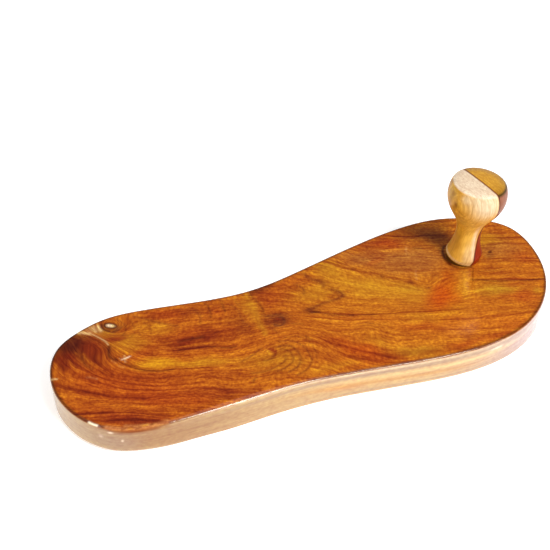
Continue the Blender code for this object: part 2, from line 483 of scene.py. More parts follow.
def close_points(places, spacing):
    """The places of one guide, filled in so that no two neighbours are far apart."""
    filled = [places[0]]
    for (x0, y0), (x1, y1) in zip(places, places[1:]):
        parts = max(1, round(((x1 - x0) ** 2 + (y1 - y0) ** 2) ** 0.5 / spacing))
        for part in range(1, parts + 1):
            filled.append((x0 + (x1 - x0) * part / parts, y0 + (y1 - y0) * part / parts))
    return filled


def plate(distance):
    """The bending shape of a thin plate at a distance from a point that pushes it up."""
    return distance ** 2 * np.log(distance + 1e-6)


# How closely the sheet keeps to the guides: a larger number is smoother and less exact
STIFFNESS = 30.0
guide_points = []
guide_heights = []
for name, level, darkness, width, places in GUIDES:
    for x, y in close_points(places, 6.0):
        guide_points.append((x, y))
        guide_heights.append(level - plain_level(x, y))
guide_points = np.array(guide_points, dtype=float)
count = len(guide_points)
system = np.zeros((count + 3, count + 3))
gaps = np.linalg.norm(guide_points[:, None] - guide_points[None], axis=2)
system[:count, :count] = plate(gaps) + np.eye(count) * STIFFNESS
system[:count, count:] = np.column_stack((np.ones(count), guide_points))
system[count:, :count] = system[:count, count:].T
weights = np.linalg.solve(system, np.array(guide_heights + [0.0, 0.0, 0.0]))
print("guide points:", count)


def ring_levels(points):
    """The ring level at each point of the board's top, in millimetres."""
    levels = plain_level(points[:, 0], points[:, 1]) + weights[count] + points @ weights[count + 1:]
    for start in range(0, len(points), 4000):
        part = points[start:start + 4000]
        away = np.linalg.norm(part[:, None] - guide_points[None], axis=2)
        levels[start:start + 4000] += plate(away) @ weights[:count]
    return levels


# %% [markdown]
# ## The colours of the board
# Heartwood like this isn't one brown: soft clouds of gold, orange, rust and near black lie over each
# other, long in the direction of the grain. Each row below is one such cloud, except a few that are
# painted shadow and painted reflection. Small marks and brush strokes lie over them for the knot, the
# pores, the scuffs and the single dark lines, and a few are painted highlight, shadow and reflection.
# The wall has tables of its own, with a painted sheen and painted highlights among them. All this could
# be painted in a picture, but a table stays sharp at any size and can be changed by one number.

# %% Clouds of colour
WOOD = {
    "base": "BC6212",
    # The wall is paler than the top: the wood's own tan with a painted sheen of the white floor and the
    # lamps
    "wall": "C5A471",
    "gold": "C27C18",
    "yellow": "D48C14",
    "olive": "B47A1A",
    "orange": "C26614",
    "rust": "AA420C",
    "flame": "B84206",
    "red": "8E2E0A",
    "maroon": "842A0A",
    "brown": "7A3410",
    "dull": "AB6729",
    "dark": "521808",
    # Painted shadow on the knob's foot, below its rim
    "painted_foot_shadow": "3A0E04",
    "smoke": "5A2818",
    "pale": "ECC484",
    "cream": "FFE8C8",
    "tan": "9A6E42",
    "grey": "9C8272",
    "worn": "92501E",
    "toffee": "BE753F",
    "blush": "B8A4A4",
}
# Wood of these colours grew evenly, so its figure is calmer
EVEN_WOOD = ("gold", "yellow", "olive")
EVENNESS = 0.45
# Columns: colour, x, y, half length, half width, turn in degrees, strength
CLOUDS = [
    # The toe half is more golden than the heel half
    ("gold", 62, -6, 62, 40, -20, 0.36),
    ("rust", -52, 12, 42, 26, -15, 0.28),
    # Heel
    ("rust", -98, -8, 34, 24, -20, 0.7),
    ("dark", -112, 34.5, 12, 10, -50, 1.0),
    ("maroon", -104, 30, 8, 6, -50, 0.6),
    ("red", -104, 27, 8, 5, -65, 0.7),
    ("red", -116, 26, 8, 4, -70, 0.6),
    ("maroon", -121, 27, 7, 5, 60, 0.6),
    ("rust", -112, 12, 16, 9, -40, 0.6),
    ("rust", -98, 2, 16, 7, -35, 0.4),
    ("orange", -121, 2, 12, 3.5, -35, 0.25),
    ("red", -118, 6, 12, 1.8, -35, 0.5),
    ("red", -106, -18, 16, 5, -32, 0.8),
    ("dark", -98, -24, 9, 2, -30, 0.5),
    ("rust", -90, -12, 14, 6, -25, 0.6),
    ("orange", -104, -11, 14, 3, -33, 0.5),
    ("orange", -82, -23, 10, 3.2, -20, 0.4),
    ("red", -95, -24, 10, 1.7, -13, 0.7),
    ("rust", -72, -22, 10, 4, -25, 0.6),
    ("red", -62, -21, 13, 4.2, -30, 0.7),
    ("red", -55, -13, 9, 2.4, -20, 0.4),
    ("maroon", -50, -27.5, 9, 3.5, -22, 0.7),
    ("rust", -55, -4.5, 9, 3.5, -20, 0.3),
    ("rust", -99.5, 36, 4, 3, -45, 0.5),
    # Round the knot and inside the arc
    ("pale", -101, 42, 5, 3.5, -40, 0.4),
    ("olive", -97, 38, 6, 4, -40, 0.5),
    ("brown", -92.5, 41, 5.2, 3.8, -25, 0.6),
    ("red", -93, 32, 6, 2.5, -15, 0.5),
    ("gold", -88, 27, 9, 7, -10, 0.7),
    ("gold", -78, 33, 9, 5, -30, 0.3),
    ("red", -73, 22, 5, 3, -20, 0.5),
    ("rust", -86, 33, 5, 3, -20, 0.5),
    ("rust", -84, 18, 7, 4, 0, 0.5),
    ("yellow", -80, 6.5, 11, 3.8, -22, 0.85),
    ("yellow", -66, 1, 12, 3, -20, 0.6),
    ("gold", -58, -2, 12, 3.5, -18, 0.6),
    ("gold", -70, 29, 5, 6, 0, 0.4),
    # Bars and mottles of the middle
    ("red", -64, 14, 7, 4, -10, 0.9),
    ("red", -51, 13.5, 6, 4.5, -10, 0.8),
    ("rust", -60, 20, 12, 3, -10, 0.5),
    ("red", -58, 9, 9, 1.4, -20, 0.8),
    ("rust", -62, 35, 8, 5, -30, 0.6),
    ("rust", -42, 29, 4, 4, 0, 0.6),
    ("brown", -35, 15, 7, 8, -10, 0.35),
    ("rust", -42, 12, 6, 5, 0, 0.4),
    ("gold", -25, 24, 4, 10, 0, 0.7),
    ("gold", -25.5, 10, 2.6, 4, 0, 0.5),
    ("brown", -16, 10, 5, 6, 15, 0.5),
    ("maroon", -17, 10, 6, 5, 0, 0.4),
    ("rust", -12, 26, 8, 7, 0, 0.6),
    ("red", -17, 32, 6, 5, 0, 0.6),
    ("red", -27, -4.5, 8, 2.6, -12, 0.5),
    ("dark", -14, 35, 9, 2, 3, 0.6),
    ("rust", 0, 31, 8, 5, 0, 0.4),
    # Nose of the cathedral
    ("gold", 8, 20, 12, 7, -15, 0.75),
    ("brown", 2, 9, 5, 2, -10, 0.7),
    ("brown", 15, 27, 2, 6, 28, 0.5),
    ("brown", 20, 14, 2.2, 4, 0, 0.5),
    ("gold", 23, 31, 7, 10, 20, 1.0),
    ("gold", 36, 13, 17, 9, -36, 1.0),
    ("gold", 50, 2, 12, 7, -30, 0.8),
    ("olive", 54, 2, 7, 4, -40, 0.5),
    ("rust", 18, -3, 8, 2.2, -22, 0.5),
    ("orange", 30, -14, 22, 5, -20, 0.9),
    ("gold", 26, -14, 12, 4, -20, 0.35),
    # Outer waist
    ("rust", 2, -15, 8, 4, -40, 0.5),
    ("flame", 11, -27, 12, 6, -42, 0.6),
    ("rust", 18, -33, 8, 3, -35, 0.6),
    ("gold", -28, -15, 14, 6, -15, 0.4),
    ("gold", -38, -10, 12, 4, -10, 0.4),
    ("gold", -23, -15, 12, 9, -20, 0.5),
    ("gold", -5, -29, 12, 3, -5, 0.5),
    ("gold", 22, -25, 8, 4, -50, 0.5),
    ("olive", 36, -37, 12, 4, -15, 0.7),
    ("rust", -14, -15, 4, 8, 20, 0.4),
    # Outer ball
    ("rust", 48, -24, 12, 4, -20, 0.5),
    ("gold", 48, -18, 10, 3, -20, 0.5),
    ("orange", 68, -32, 18, 6, -15, 0.6),
    ("orange", 90, -40, 14, 5, -25, 0.8),
    ("rust", 58, -42, 10, 2.5, -5, 0.6),
    ("rust", 76, -43, 10, 2.5, -5, 0.5),
    ("gold", 60, -19, 14, 3, -15, 0.4),
    # Toes
    ("dull", 66, 22, 22, 11, -20, 0.8),
    ("dull", 45, 33, 14, 6, -25, 0.7),
    ("red", 56, 41, 13, 4.5, -15, 0.8),
    ("red", 52, 34.5, 8, 3, -20, 0.5),
    ("brown", 22, 36.5, 5, 2.5, -25, 0.3),
    ("flame", 62, 38, 8, 3.5, -15, 0.3),
    ("rust", 49, 29, 5, 3, 10, 0.5),
    ("brown", 78, 40, 10, 5, -15, 0.6),
    # Painted reflection of the knob in the lacquer: an orange-red patch
    ("flame", 66, -9, 11, 6, 35, 0.85),
    ("rust", 76, 2, 7, 4, 50, 0.6),
    # Painted reflection of the knob in the lacquer: a pale gold streak in front of its foot
    ("gold", 82, -4, 10, 2.6, 58, 0.7),
    # Painted shadow of the knob, cast back and to the left on the board
    ("smoke", 87, 33, 8, 6, -60, 0.7),
    ("olive", 95, -16, 12, 6, -20, 0.9),
    ("rust", 102, -26, 9, 4, -25, 0.7),
    ("dull", 112, 10, 14, 8, -20, 0.6),
    ("gold", 110, 20, 9, 5, -20, 1.0),
    ("yellow", 110, 20.5, 7, 3.5, -20, 0.5),
    ("rust", 121, -2, 6, 4, -30, 0.6),
    ("rust", 108, -13, 8, 2, -25, 0.6),
    ("rust", 105, -17, 6, 2.5, -25, 0.5),
    ("olive", 113, -26, 3, 2.5, 0, 0.6),
]
# Small sharp marks in the same columns: the knot's dark ring and pale eye, nicks and scuffs
MARKS = [
    ("dark", -92.3, 41.0, 3.7, 2.2, -41, 0.9),
    ("pale", -92.3, 41.05, 2.6, 1.3, -41, 1.0),
    ("cream", -92.8, 41.5, 1.5, 0.9, -41, 0.7),
    ("orange", -104.0, 40.5, 5.0, 1.8, -42, 0.5),
    ("smoke", -90.5, 36.8, 3.5, 1.2, 20, 0.6),
    ("red", -93.0, 31.0, 6.0, 2.0, -12, 0.8),
    ("dark", 106.7, 10.0, 1.3, 0.9, 10, 0.85),
    ("smoke", 105.0, 7.0, 2.5, 2.5, 10, 0.3),
    ("brown", 57.0, 6.5, 2.2, 1.0, -35, 0.6),
    ("brown", 63.2, -0.8, 1.2, 0.9, 0, 0.7),
    ("brown", 34.6, 28.4, 1.6, 1.0, -50, 0.6),
    ("brown", 45.6, 17.0, 1.0, 1.8, -10, 0.5),
    ("red", -26.8, -7.8, 2.6, 1.3, -65, 0.8),
    ("dark", 3.0, 7.6, 3.0, 0.9, -20, 0.6),
    ("dark", 18.3, -2.0, 1.6, 0.8, -20, 0.5),
    ("red", 54.5, 30.5, 1.6, 0.7, -20, 0.7),
    ("orange", -73.5, 17.5, 2.0, 1.1, -20, 0.8),
    ("red", -63.0, 16.5, 6.0, 2.6, -8, 0.7),
    ("maroon", -61.0, 10.0, 8.0, 1.5, -14, 0.75),
    ("maroon", -51.0, 13.5, 4.5, 4.0, -10, 0.4),
    ("maroon", -57.0, -22.5, 5.0, 2.2, -30, 0.6),
    ("maroon", -104.0, -20.5, 13.0, 2.6, -31, 0.3),
    ("dark", -113.5, 36.0, 5.0, 3.5, -50, 0.5),
    ("brown", -16.5, 11.5, 6.5, 4.5, -20, 0.55),
    ("smoke", -15.2, 8.6, 3.2, 3.4, 15, 0.2),
    ("maroon", -52.0, 33.0, 5.0, 3.0, -20, 0.4),
    ("rust", -68.0, 38.0, 9.0, 3.5, -20, 0.5),
]
# The thin line round the knot, in millimetres from the origin
KNOT_EDGE = [
    (-90.0, 39.1), (-89.9, 40.6), (-91.2, 42.3), (-93.1, 43.4), (-94.6, 43.0),
    (-94.7, 41.5), (-93.4, 39.8), (-91.5, 38.8), (-90.0, 39.1),
]
# Brush strokes that follow a curve. Columns: colour, half width, strength, how bare of figure, places
STROKES = [
    # Heel
    ("pale", 0.9, 0.8, 0.8, [(-108, 43), (-103.5, 40)]),
    ("pale", 0.45, 0.65, 0.7, [(-103.5, 40), (-100, 35), (-98, 31), (-97.6, 29)]),
    ("dark", 0.9, 0.7, 0.0, [(-97.5, 27.5), (-99, 24), (-99.4, 21), (-97.5, 18)]),
    ("dark", 0.5, 0.55, 0.0, [
        (-97.5, 18), (-95, 14), (-92, 11), (-89.5, 7.5), (-84.5, 4), (-80, 1.5), (-74.5, 0.5),
    ]),
    ("maroon", 1.3, 0.85, 0.0, [(-117, 30), (-116.6, 26), (-115.5, 21.5)]),
    ("red", 1.0, 0.6, 0.0, [(-121, 30), (-121, 26), (-119, 22)]),
    ("orange", 0.8, 0.5, 0.1, [(-110.3, 28), (-109.3, 23), (-108, 18)]),
    ("orange", 0.7, 0.5, 0.1, [(-117.8, 27), (-117.4, 23), (-116, 18)]),
    ("dark", 0.6, 0.5, 0.0, [(-112, 27), (-111.5, 22), (-109.5, 16.5)]),
    ("orange", 0.7, 0.3, 0.1, [(-113.5, 30), (-113, 25), (-111.5, 20)]),
    ("maroon", 1.2, 0.75, 0.0, [(-108.5, 28), (-107.5, 24), (-105.5, 19)]),
    ("pale", 0.5, 0.7, 0.7, [(-128.8, 18.6), (-126.6, 17.8)]),
    ("dark", 0.7, 0.8, 0.0, [(-96, 43.5), (-96.4, 40.5), (-94, 37.5)]),
    ("brown", 0.4, 0.6, 0.0, [(-99.5, 43), (-99.3, 39)]),
    ("brown", 0.4, 0.5, 0.0, [(-102, 43.5), (-101, 41)]),
    ("pale", 0.8, 0.8, 0.5, [(-98, 43), (-97.8, 39.5)]),
    ("pale", 0.7, 0.6, 0.5, [(-100.5, 43), (-100, 40)]),
    ("brown", 0.5, 0.5, 0.0, [(-88, 44), (-86, 39), (-86.5, 35), (-89.5, 32)]),
    ("brown", 0.4, 0.35, 0.0, [(-83, 42), (-82, 37), (-83, 32), (-86, 29)]),
    ("brown", 0.6, 0.6, 0.0, [(-79, 42), (-74.5, 37), (-70, 33), (-65, 29), (-62.5, 26.5)]),
    ("brown", 0.5, 0.4, 0.0, [(-77, 36), (-75, 31), (-76, 27)]),
    ("cream", 0.45, 0.75, 0.8, [(-94.5, 17), (-92.5, 17.1), (-90.5, 17.5)]),
    ("pale", 0.4, 0.5, 0.6, [(-92.9, 19), (-93.2, 17), (-93.4, 14.5)]),
    ("pale", 0.4, 0.4, 0.6, [(-95.3, 18.2), (-93.5, 16)]),
    ("toffee", 0.5, 0.4, 0.4, [(-99.3, 18), (-98, 15.8)]),
    ("toffee", 0.5, 0.4, 0.4, [(-97.2, 13.6), (-95.5, 11.5)]),
    ("pale", 0.6, 0.12, 0.3, [(-113.5, 13), (-111.5, 12), (-109.5, 10)]),
    ("orange", 0.5, 0.3, 0.3, [(-106, 14), (-104, 11)]),
    ("dark", 0.45, 1.0, 0.5, KNOT_EDGE),
    # Bars of the middle
    ("orange", 0.6, 0.8, 0.3, [(-67.5, 13.4), (-62, 12.2), (-57, 11), (-52, 9)]),
    ("dark", 0.6, 0.4, 0.0, [(-68, 11.2), (-63, 10.7), (-57, 9), (-51, 6)]),
    ("dark", 0.7, 0.6, 0.0, [(-66, 16.5), (-60, 15.8), (-54, 15)]),
    ("red", 0.9, 0.6, 0.0, [(-62, 22), (-56, 20), (-50, 18)]),
    ("dark", 0.5, 0.6, 0.0, [(-49, 4.5), (-46, 3), (-42.5, 2.2)]),
    ("dark", 0.5, 0.5, 0.0, [(-36, 37), (-36.5, 32), (-37.5, 27)]),
    ("dark", 0.5, 0.5, 0.0, [(-44, 36), (-44, 31), (-45.5, 26)]),
    ("brown", 0.6, 0.5, 0.0, [(-51, 34), (-50, 29), (-52, 24)]),
    ("dark", 0.5, 0.5, 0.0, [(-20.6, 36), (-20.8, 30), (-20, 23), (-20.5, 17)]),
    ("gold", 1.2, 0.6, 0.2, [(-23, 36), (-23.4, 28), (-24, 20), (-25, 12), (-26, 4)]),
    ("gold", 0.8, 0.4, 0.2, [(-30, 34), (-29.5, 27), (-29, 21)]),
    ("brown", 0.5, 0.5, 0.0, [(-33, 30), (-31.5, 24), (-32.5, 18), (-30.5, 12)]),
    ("smoke", 0.6, 0.4, 0.0, [(-22, 16.5), (-18, 14.8), (-13.5, 13.6)]),
    ("smoke", 0.7, 0.6, 0.0, [(-19, 7), (-16, 5.8), (-13.5, 8), (-14, 12)]),
    ("orange", 0.7, 0.7, 0.2, [(-20.3, 12.6), (-18.8, 10.8)]),
    ("rust", 0.5, 0.7, 0.1, [(-16.4, 11.2), (-15.2, 9.8)]),
    ("smoke", 0.5, 0.5, 0.0, [(-19.5, 8.4), (-17.8, 6.8)]),
    ("brown", 0.6, 0.5, 0.0, [(-23, 10), (-21, 6), (-20, 2)]),
    ("dark", 0.4, 0.4, 0.0, [(-11, 5), (-6, 2.8)]),
    ("orange", 0.7, 0.4, 0.2, [(-33, 4), (-27, 2), (-21, 0)]),
    # Loops round the eye
    ("maroon", 0.8, 0.8, 0.0, [(-28.3, -6), (-26.2, -8.5), (-28.5, -12)]),
    ("brown", 0.6, 0.6, 0.0, [(-33.5, -12.3), (-30.5, -12.7), (-28.5, -11)]),
    ("gold", 0.6, 0.4, 0.2, [(-32.5, -10.5), (-30, -9.5), (-29.5, -7)]),
    ("brown", 0.5, 0.65, 0.0, [(-30, -18), (-26.5, -17.3), (-24, -15.8), (-23, -13)]),
    ("brown", 0.5, 0.65, 0.0, [
        (-31, -21), (-26, -20.6), (-22, -18.6), (-20, -15), (-20.5, -11), (-23, -8.5),
    ]),
    ("brown", 0.6, 0.75, 0.0, [
        (-24, -6.5), (-19, -8), (-16.8, -12), (-17.2, -17), (-20, -21.5), (-26, -23.8),
    ]),
    ("brown", 0.6, 0.65, 0.0, [
        (-22, -3), (-16.5, -5.5), (-13, -10), (-12, -16), (-13.5, -22), (-17, -25.2), (-23, -27),
    ]),
    ("brown", 0.5, 0.4, 0.0, [(-18, -2), (-12.5, -4), (-9, -9), (-8.6, -15), (-10, -21)]),
    ("dark", 0.6, 0.5, 0.0, [(-8.5, -5.5), (-7, -8.8)]),
    ("brown", 0.6, 0.6, 0.0, [(-42, -17), (-36, -18.5), (-31, -18.6)]),
    ("brown", 0.6, 0.6, 0.0, [(-44, -8), (-38, -6.5), (-32, -4)]),
    ("dark", 0.6, 0.5, 0.0, [(-44, -22.5), (-42, -20.5)]),
    # Nose of the cathedral
    ("brown", 0.9, 0.7, 0.0, [(10.5, 36), (11.8, 30), (14.3, 27.3), (15.6, 25), (15, 22.5)]),
    ("brown", 0.9, 0.7, 0.0, [
        (17.5, 19.5), (20.4, 16), (21.2, 13), (18, 11.3), (11.5, 11.6), (4.5, 10.8), (0.5, 10.7),
    ]),
    ("brown", 0.7, 0.6, 0.0, [(3, 30), (5, 26), (3.5, 22)]),
    ("dark", 0.5, 0.5, 0.0, [
        (-0.3, 8.2), (4.3, 6.8), (8.5, 3.6), (12.7, 0.7), (18, -2.2), (22.7, -4), (29.3, -6.2),
    ]),
    ("gold", 0.7, 0.4, 0.2, [(47, 17), (47.5, 14), (50, 10.5)]),
    ("brown", 0.5, 0.5, 0.0, [(22.5, -9.5), (25, -11.5)]),
    # Toes
    ("pale", 0.45, 0.16, 0.3, [(68.6, 32), (67, 29.5), (66.3, 26.5)]),
    ("pale", 0.4, 0.14, 0.3, [(64.5, 14), (62.5, 11), (61, 7.5)]),
    ("orange", 0.6, 0.7, 0.3, [(50, 38.5), (56, 36.8), (62, 34)]),
    ("dark", 0.8, 0.5, 0.0, [(71.5, 29.5), (75, 27.5)]),
    ("brown", 0.5, 0.5, 0.0, [(43, 33), (48, 31), (53, 29.5)]),
    ("brown", 0.4, 0.5, 0.0, [(50, 20), (58, 17), (66, 14.5)]),
    ("brown", 0.4, 0.45, 0.0, [(58, 11), (66, 8.5), (74, 4.5)]),
    ("brown", 0.4, 0.45, 0.0, [(60, 28), (68, 25), (78, 21)]),
    ("brown", 0.4, 0.5, 0.0, [(84, 3.5), (90, 0.5), (98, -2.5), (106, -5)]),
    ("dark", 0.5, 0.7, 0.0, [
        (86, -4.5), (92.5, -8), (99, -11), (104, -13), (110.5, -16), (119, -19), (122, -19.5),
    ]),
    # Painted reflection of the knob in the lacquer: gold and yellow streaks with a dark line beside them
    ("gold", 2.2, 0.6, 0.4, [(87, 2), (83.5, -3), (80, -9), (77.5, -14)]),
    ("yellow", 1.0, 0.6, 0.3, [(85, -1), (82, -6), (79.5, -11)]),
    ("dark", 0.35, 0.6, 0.0, [(92, 3), (89, -1.5), (86, -6)]),
    # The heel's outer edge: rubbed back to lighter wood, with one painted highlight on its rounded edge
    ("toffee", 1.2, 1.0, 0.4, [
        (-115, -19.8), (-110.5, -22.9), (-104, -25.6), (-97, -27.2), (-89, -28.0),
    ]),
    ("toffee", 0.8, 0.8, 0.3, [(-107, -22.6), (-103, -24.4), (-98, -25.8)]),
    ("brown", 0.4, 0.7, 0.0, [(-109, -23.9), (-107.5, -24.2)]),
    ("brown", 0.4, 0.6, 0.0, [(-103, -26.2), (-100.5, -26.4)]),
    ("brown", 0.35, 0.6, 0.0, [(-96.5, -26.9), (-95, -26.4)]),
    ("yellow", 0.5, 0.5, 0.2, [(-106, -24.6), (-104.5, -25.1)]),
    ("yellow", 0.5, 0.5, 0.2, [(-99.5, -25.9), (-98, -26.1)]),
    # Painted highlight on the heel's rounded edge
    ("cream", 0.5, 1.0, 1.0, [(-121.0, -13.6), (-119.6, -15.6), (-118.5, -16.8)]),
    # Painted shadow round the knob's foot, and an orange arc on its toe side
    ("dark", 1.0, 0.9, 0.0, [(87, 24), (84, 20), (82.6, 15), (82.8, 10.5)]),
    ("dark", 0.7, 0.8, 0.0, [(82.8, 10.5), (84.5, 7), (88, 4.6), (92, 3.9)]),
    ("orange", 0.6, 0.6, 0.3, [(92, 3.5), (97, 5), (100.8, 8.5), (102.4, 13)]),
]
# The wall's clouds: colour, x, depth below the top, half length, half depth, turn in degrees, strength
WALL_CLOUDS = [
    ("tan", -62, 8.0, 44, 9.0, 0, 0.45),
    # Painted sheen: the toe's wall is painted pinkish grey where it mirrors the white floor
    ("blush", 118, 8.0, 50, 14.0, 0, 1.0),
    ("grey", 20, 3.0, 90, 1.1, 0, 0.7),
    ("gold", -2, 8.0, 26, 1.6, 1.5, 0.5),
    ("gold", 40, 9.5, 30, 1.2, 1, 0.45),
    ("orange", -4, 9.5, 10, 1.0, 4, 0.35),
    ("pale", 18, 6.0, 30, 0.9, 1, 0.6),
    ("pale", 60, 6.5, 30, 1.6, 0, 0.5),
    ("grey", 30, 13.5, 60, 0.9, 0, 0.5),
    ("tan", -95, 8.0, 35, 9.0, 0, 0.9),
    ("grey", -112, 9.0, 10, 6.0, 0, 0.4),
    # Painted highlight: a thin light line along the wall just below the top edge
    ("cream", 0, 1.1, 75, 0.45, 0, 0.6),
]
# Wear on the outer side alone, and one painted highlight, in the same columns
WALL_MARKS = [
    ("worn", -104, 0.6, 14, 1.6, -1, 1.0),
    ("brown", -106, 1.7, 7, 0.6, -3, 0.9),
    ("brown", -95, 1.3, 3, 0.5, -3, 0.5),
    ("cream", -113.9, 2.5, 1.0, 0.4, 0, 0.9),
    ("cream", -117.7, 6.0, 0.8, 0.6, 0, 0.75),
    ("cream", -109.5, 7.3, 0.5, 0.7, 0, 0.7),
    # Painted highlight on the wall near the toe
    ("cream", 75, 4.3, 3.6, 0.5, -4, 1.0),
]


def plain(name, count):
    """One colour of the palette for each of so many points."""
    return np.tile(np.array(linear(WOOD[name])[:3]), (count, 1))


def blend(colours, name, cover):
    """Lays one colour of the palette over the others, by the cover at each point."""
    colours += (np.array(linear(WOOD[name])[:3]) - colours) * cover[:, None]


def lay_clouds(colours, places, rows, crispness, calm=None):
    """Lays each cloud of a table over the colours, softly where crispness is low."""
    for name, x, y, length, width, turn, strength in rows:
        turn = radians(turn)
        run = (places[:, 0] - x) * cos(turn) + (places[:, 1] - y) * sin(turn)
        side = (places[:, 1] - y) * cos(turn) - (places[:, 0] - x) * sin(turn)
        cover = strength * np.exp(-((run / length) ** 2 + (side / width) ** 2) ** crispness)
        blend(colours, name, cover)
        if calm is not None and name in EVEN_WOOD:
            calm[:] = np.maximum(calm, EVENNESS * cover)


def path_distance(points, path):
    """How far each point is from the nearest stretch of a path."""
    nearest = np.full(len(points), 1e9)
    for start, end in zip(path, path[1:]):
        run = end - start
        share = np.clip((points - start) @ run / (run @ run), 0.0, 1.0)
        nearest = np.minimum(nearest, np.linalg.norm(points - start - share[:, None] * run, axis=1))
    return nearest


def lay_strokes(colours, bare, places, rows):
    """Draws each stroke over the colours, and notes where the wood's figure is covered."""
    for name, width, strength, cover_up, path in rows:
        curve = spline(path, 5, closed=False) if len(path) > 2 else np.array(path, dtype=float)
        low = curve.min(axis=0) - 4.0 * width
        high = curve.max(axis=0) + 4.0 * width
        near = ((places > low) & (places < high)).all(axis=1)
        cover = np.zeros(len(places))
        cover[near] = strength * np.exp(-(path_distance(places[near], curve) / width) ** 2)
        blend(colours, name, cover)
        bare[:] = np.maximum(bare, cover * cover_up)


# The sway's noise: its turns per millimetre along and across the board, and the slice it is cut from
SWAY_ALONG = 0.11
SWAY_ACROSS = 0.16
SWAY_SLICE = 3.7
# Without a seed of its own this noise would differ from run to run
noise.seed_set(3)


def sway(points, reach):
    """Moves the points about by a slow noise, so that no cloud is a plain oval."""
    moved = []
    for x, y in points:
        moved.append(noise.noise_vector(Vector((x * SWAY_ALONG, y * SWAY_ACROSS, SWAY_SLICE)))[:2])
    return points + np.array(moved) * reach


def vertex_places(mesh):
    """Where the mesh's vertices are, in millimetres."""
    places = np.empty(len(mesh.vertices) * 3)
    mesh.vertices.foreach_get("co", places)
    return places.reshape(-1, 3) / MM


def store(mesh, name, values):
    """Writes one value or one colour for each vertex as a named attribute."""
    values = np.asarray(values, dtype=np.float32)
    if values.ndim == 1:
        mesh.attributes.new(name, "FLOAT", "POINT").data.foreach_set("value", values)
    else:
        values = np.column_stack((values, np.ones(len(values), dtype=np.float32)))
        mesh.attributes.new(name, "FLOAT_COLOR", "POINT").data.foreach_set("color", values.ravel())


def near_guides(points, reach):
    """How close each point is to a dark guide line: 1 on it, fading to 0 further away."""
    near = np.zeros(len(points))
    for name, level, darkness, width, places in GUIDES:
        if darkness > 0.0:
            away = path_distance(points, np.array(places, dtype=float))
            near = np.maximum(near, darkness * np.exp(-(away / reach) ** 2))
    return near


# %% Write the fields on the board
# The rings lean: they shift by this many levels for each millimetre down into the board
DEPTH_SLOPE = 1.3
# How far the clouds, the marks and the strokes are swayed, in millimetres
CLOUD_SWAY = 2.6
MARK_SWAY = 0.4
STROKE_SWAY = 0.5
# How sharply a cloud ends: 1 is a soft bell, 2 is a blot with a clear edge
CLOUD_CRISPNESS = 1.3
MARK_CRISPNESS = 2.0
WALL_CRISPNESS = 1.2
# A dark line shows within about this many millimetres of its guide
LINE_REACH = 4.0
# The wall's colours begin at this depth and are complete within this many millimetres more
WALL_BEGINS = 0.45
WALL_FADE = 0.5
# The rim's darkening: how strong, how far inside the outline and how wide in millimetres
RIM_DARKENING = 0.68
RIM_INSET = 0.7
RIM_WIDTH = 0.8
# The rubbed stretch of the edge: half width and lowest depth in millimetres
RUBBED_WIDTH = 1.9
RUBBED_DEPTH = 2.6
# A depth that no wall mark reaches
TOO_DEEP = 99.0
points = vertex_places(board.data)
plan = points[:, :2]
depth = SOLE_THICKNESS / MM - points[:, 2]
levels = ring_levels(plan)
top_colours = plain("base", len(points))
bare = np.zeros(len(points))
lay_clouds(top_colours, sway(plan, CLOUD_SWAY), CLOUDS, CLOUD_CRISPNESS, calm=bare)
lay_clouds(top_colours, sway(plan, MARK_SWAY), MARKS, MARK_CRISPNESS)
# The top is darkest along its rim, as lacquer and dirt gather there
closed_outline = np.vstack((outline[::4], outline[:1])) / MM
rim = path_distance(plan, closed_outline)
darkening = RIM_DARKENING * np.exp(-((rim - RIM_INSET) / RIM_WIDTH) ** 2) * (depth < 1.0)
top_colours *= (1.0 - darkening)[:, None]
lay_strokes(top_colours, bare, sway(plan, STROKE_SWAY), STROKES)
wall_colours = plain("wall", len(points))
lay_clouds(wall_colours, np.column_stack((points[:, 0], depth)), WALL_CLOUDS, WALL_CRISPNESS)
outer_depth = np.where(plan[:, 1] < 0.0, depth, TOO_DEEP)
lay_clouds(wall_colours, np.column_stack((points[:, 0], outer_depth)), WALL_MARKS, WALL_CRISPNESS)
wall = np.clip((depth - WALL_BEGINS) / WALL_FADE, 0.0, 1.0)
# The lacquer is rubbed off along the heel's outer edge, so that stretch is dull
rubbed_path = np.array([(-113.0, -22.2), (-108.0, -24.9), (-102.0, -26.9), (-95.0, -28.2), (-90.0, -28.6)])
rubbed = np.exp(-(path_distance(plan, rubbed_path) / RUBBED_WIDTH) ** 4)
rubbed *= np.clip((RUBBED_DEPTH - depth) / 0.8, 0.0, 1.0)
colours = top_colours + (wall_colours - top_colours) * wall[:, None]
store(board.data, "ring", levels - DEPTH_SLOPE * depth)
store(board.data, "wall", wall)
store(board.data, "bare", bare)
store(board.data, "rubbed", rubbed)
store(board.data, "clouds", colours)
store(board.data, "line", near_guides(plan, LINE_REACH))
print("ring levels from", round(levels.min(), 1), "to", round(levels.max(), 1))

# %% [markdown]
# ## Lacquered heartwood
# This is a dense, oily brown hardwood of the rosewood family under a clear gloss lacquer. The wood
# itself scatters light softly and has long fibres and fine dark pores; the lacquer lies on it as a
# smooth coat, which the shader's own coat layer gives.

# %% What the board and the knob share
# A noise rarely leaves this middle part of its range
NOISE_LOW = 0.28
NOISE_HIGH = 0.72
RELIEF_DEPTH = 0.2 * MM


def shade_layers(tree, layers):
    """One noise on another. Columns: coordinates, detail, darkest and lightest."""
    shade = 1.0
    for vector, detail, darkest, lightest in layers:
        layer = add(tree, NOISE, vector, sockets={"Scale": 1.0, "Detail": detail})
        layer = add(tree, RANGE, layer, NOISE_LOW, NOISE_HIGH, darkest, lightest)
        shade = add(tree, MATHS, shade, layer, operation="MULTIPLY")
    return shade


